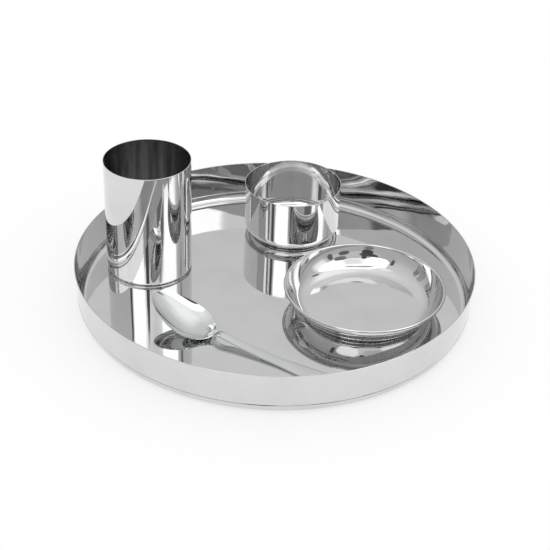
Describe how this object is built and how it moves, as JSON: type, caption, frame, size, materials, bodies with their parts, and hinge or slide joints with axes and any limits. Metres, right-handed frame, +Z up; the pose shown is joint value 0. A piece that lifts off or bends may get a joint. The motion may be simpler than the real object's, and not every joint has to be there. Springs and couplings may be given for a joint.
{
  "type": "thali plate set",
  "caption": "Round steel dining tray with a flared wall, carrying a loose drinking cup, a deep bowl, a shallow side dish and a table spoon.",
  "frame": {"origin": "middle of the tray's underside, on the surface that the set stands on", "axes": "+Z up, square to the tray's floor; +X towards the side dish and +Y towards the katori, away from the side where the spoon lies"},
  "size_m": [0.32, 0.32, 0.1],
  "materials": {
    "tray_steel": "polished",
    "tumbler_steel": "polished",
    "katori_steel": "polished",
    "dish_steel": "polished",
    "spoon_steel": "polished"
  },
  "bodies": {
    "tray": {"thali_tray": "tray_steel"},
    "cup": {"tumbler": "tumbler_steel"},
    "bowl": {"katori": "katori_steel"},
    "dish": {"side_dish": "dish_steel"},
    "cutlery": {"spoon": "spoon_steel"}
  },
  "joints": [
    {"name": "tumbler_lift", "type": "slide", "parent": "tray", "child": "cup", "axis": [0, 0, 1], "range_m": [0, 0.12]},
    {"name": "katori_lift", "type": "slide", "parent": "tray", "child": "bowl", "axis": [0, 0, 1], "range_m": [0, 0.12]},
    {"name": "dish_lift", "type": "slide", "parent": "tray", "child": "dish", "axis": [0, 0, 1], "range_m": [0, 0.12]},
    {"name": "spoon_lift", "type": "slide", "parent": "tray", "child": "cutlery", "axis": [0, 0, 1], "range_m": [0, 0.12]}
  ]
}
